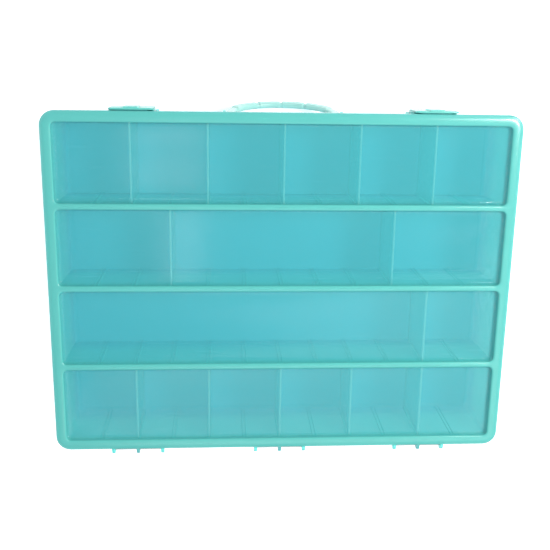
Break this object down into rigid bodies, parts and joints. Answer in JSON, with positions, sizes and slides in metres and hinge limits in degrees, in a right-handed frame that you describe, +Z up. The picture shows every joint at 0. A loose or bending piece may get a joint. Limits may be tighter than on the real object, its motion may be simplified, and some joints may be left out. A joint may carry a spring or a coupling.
{
  "type": "compartment organizer case",
  "caption": "Flat translucent case with a hinged ribbed lid, rows of compartments with lift-out dividers, snap latches and a bail carrying handle.",
  "frame": {"origin": "centre of the tray's underside, on the surface that the case lies on", "axes": "+X along the long side, +Y towards the latches and the handle, +Z up out of the lid"},
  "size_m": [0.37, 0.2887, 0.064],
  "materials": {
    "tray": "translucent polypropylene, satin gloss",
    "lid": "translucent polypropylene, gloss",
    "divider": "translucent polypropylene, satin",
    "latch": "translucent polypropylene, gloss",
    "handle": "pale translucent polypropylene",
    "hinge_pin": "drawn wire"
  },
  "bodies": {
    "tray": {"base_tray": "tray", "hinge_pin_left": "hinge_pin", "hinge_pin_middle": "hinge_pin", "hinge_pin_right": "hinge_pin", "divider_row1_1": "divider", "divider_row1_2": "divider", "divider_row1_3": "divider", "divider_row1_4": "divider", "divider_row1_5": "divider", "divider_row2_1": "divider", "divider_row2_2": "divider", "divider_row3_1": "divider", "divider_row4_1": "divider", "divider_row4_2": "divider", "divider_row4_3": "divider", "divider_row4_4": "divider", "divider_row4_5": "divider"},
    "lid": {"lid": "lid"},
    "latch_left": {"latch_left": "latch"},
    "latch_right": {"latch_right": "latch"},
    "handle": {"handle": "handle"}
  },
  "joints": [
    {"name": "lid_hinge", "type": "hinge", "parent": "tray", "child": "lid", "pos_m": [0, -0.1405, 0.0575], "axis": [1, 0, 0], "range_deg": [0, 180]},
    {"name": "latch_left_pivot", "type": "hinge", "parent": "tray", "child": "latch_left", "pos_m": [-0.1168, 0.13588, 0.037], "axis": [-1, 0, 0], "range_deg": [0, 115]},
    {"name": "latch_right_pivot", "type": "hinge", "parent": "tray", "child": "latch_right", "pos_m": [0.1168, 0.13588, 0.037], "axis": [-1, 0, 0], "range_deg": [0, 115]},
    {"name": "handle_pivot", "type": "hinge", "parent": "tray", "child": "handle", "pos_m": [0, 0.13525, 0.03315], "axis": [1, 0, 0], "range_deg": [-10, 120]}
  ]
}
